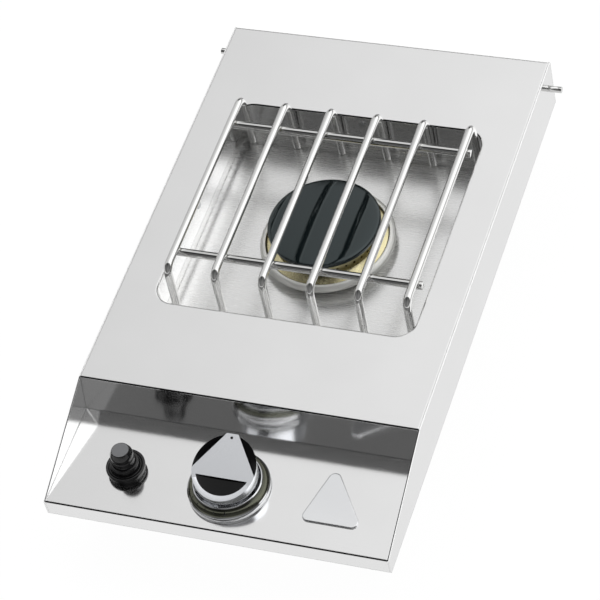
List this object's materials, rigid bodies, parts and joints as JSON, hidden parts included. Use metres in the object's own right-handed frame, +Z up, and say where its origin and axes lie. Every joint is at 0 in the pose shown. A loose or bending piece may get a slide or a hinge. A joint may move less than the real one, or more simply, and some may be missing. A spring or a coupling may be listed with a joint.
{
  "type": "built-in side burner",
  "caption": "Drop-in stainless side burner with a lift-off rod grate, capped round burner, push-and-turn control knob and push igniter.",
  "frame": {"origin": "centre of the footprint at the bottom of the burner box", "axes": "+X to the right, +Y to the rear away from the control shelf, +Z up"},
  "size_m": [0.357, 0.57, 0.136],
  "materials": {
    "brushed_stainless": "brushed stainless sheet",
    "galvanized_sheet": "plain mill-finish steel sheet",
    "polished_stainless": "polished stainless rod and spun ring",
    "plated_zinc": "bright plating on die-cast zinc",
    "satin_knob": "satin plating with gloss black scoops",
    "brass": "turned brass",
    "black_enamel": "glossy black enamel",
    "grey_iron": "raw cast iron",
    "steel_tube": "bright steel tube",
    "zinc_steel": "zinc-plated fasteners",
    "copper_alloy_pipe": "bare copper tube",
    "black_plastic": "glossy black",
    "grey_plastic": "matt grey",
    "ceramic": "glazed ceramic",
    "cell_jacket": "printed cell jacket left bare",
    "lead_rubber": "silicone rubber lead",
    "dot_black": "black filled dot"
  },
  "bodies": {
    "casing": {"deck_panel": "brushed_stainless", "side_panel_left": "brushed_stainless", "side_panel_right": "brushed_stainless", "control_panel": "brushed_stainless", "box_wrap": "galvanized_sheet", "box_side_left": "galvanized_sheet", "box_side_right": "galvanized_sheet", "burner_pan": "brushed_stainless", "pan_screws": "zinc_steel", "drip_ring": "polished_stainless", "burner_bowl": "grey_iron", "burner_screws": "zinc_steel", "mixer_tube": "steel_tube", "electrode_ceramic": "ceramic", "electrode_clip": "zinc_steel", "electrode_pin": "polished_stainless", "valve_body": "brass", "valve_bonnet": "brass", "bonnet_screws": "zinc_steel", "gas_jet": "brass", "bezel": "plated_zinc", "valve_nut": "zinc_steel", "igniter_body": "black_plastic", "battery": "cell_jacket", "igniter_collar": "black_plastic", "igniter_cap": "black_plastic", "igniter_spring": "zinc_steel", "ignition_lead": "lead_rubber", "lead_clips": "grey_plastic", "supply_pipe": "copper_alloy_pipe", "gas_inlet": "brass", "inlet_locknut": "zinc_steel", "pipe_nuts": "zinc_steel", "badge_plate": "brushed_stainless", "badge_nuts": "zinc_steel", "lid_pin_left": "polished_stainless", "lid_pin_right": "polished_stainless", "lid_pin_nuts": "zinc_steel"},
    "grate": {"grate_rod_1": "polished_stainless", "grate_rod_2": "polished_stainless", "grate_rod_3": "polished_stainless", "grate_rod_4": "polished_stainless", "grate_rod_5": "polished_stainless", "grate_rod_6": "polished_stainless", "cross_rod_front": "polished_stainless", "cross_rod_rear": "polished_stainless"},
    "valve_plug": {"valve_plug": "brass", "valve_spring": "zinc_steel"},
    "knob": {"valve_stem": "brass", "knob": "satin_knob", "knob_dot": "dot_black", "knob_clip": "zinc_steel"},
    "igniter_button": {"igniter_button": "black_plastic"},
    "flame_ring": {"flame_ring": "brass"},
    "burner_cap": {"burner_cap": "black_enamel"},
    "air_shutter": {"air_shutter": "steel_tube"}
  },
  "joints": [
    {"name": "knob_turn", "type": "hinge", "parent": "casing", "child": "valve_plug", "pos_m": [0, -0.237, 0.042], "axis": [0, 0, 1], "range_deg": [0, 180]},
    {"name": "knob_push", "type": "slide", "parent": "valve_plug", "child": "knob", "axis": [0, 0, -1], "range_m": [0, 0.003], "stiffness_N_per_m": 1500, "springref_m": -0.004, "deforming": ["valve_spring"]},
    {"name": "igniter_push", "type": "slide", "parent": "casing", "child": "igniter_button", "axis": [0, 0, -1], "range_m": [0, 0.002], "stiffness_N_per_m": 800, "springref_m": -0.004, "deforming": ["igniter_spring"]},
    {"name": "grate_lift", "type": "slide", "parent": "casing", "child": "grate", "axis": [0, 0, 1], "range_m": [0, 0.09]},
    {"name": "ring_lift", "type": "slide", "parent": "casing", "child": "flame_ring", "axis": [0, 0, 1], "range_m": [0, 0.005]},
    {"name": "cap_lift", "type": "slide", "parent": "flame_ring", "child": "burner_cap", "axis": [0, 0, 1], "range_m": [0, 0.012]},
    {"name": "shutter_turn", "type": "hinge", "parent": "casing", "child": "air_shutter", "pos_m": [0, -0.206, 0.042], "axis": [0, 1, 0], "range_deg": [0, 45]}
  ]
}
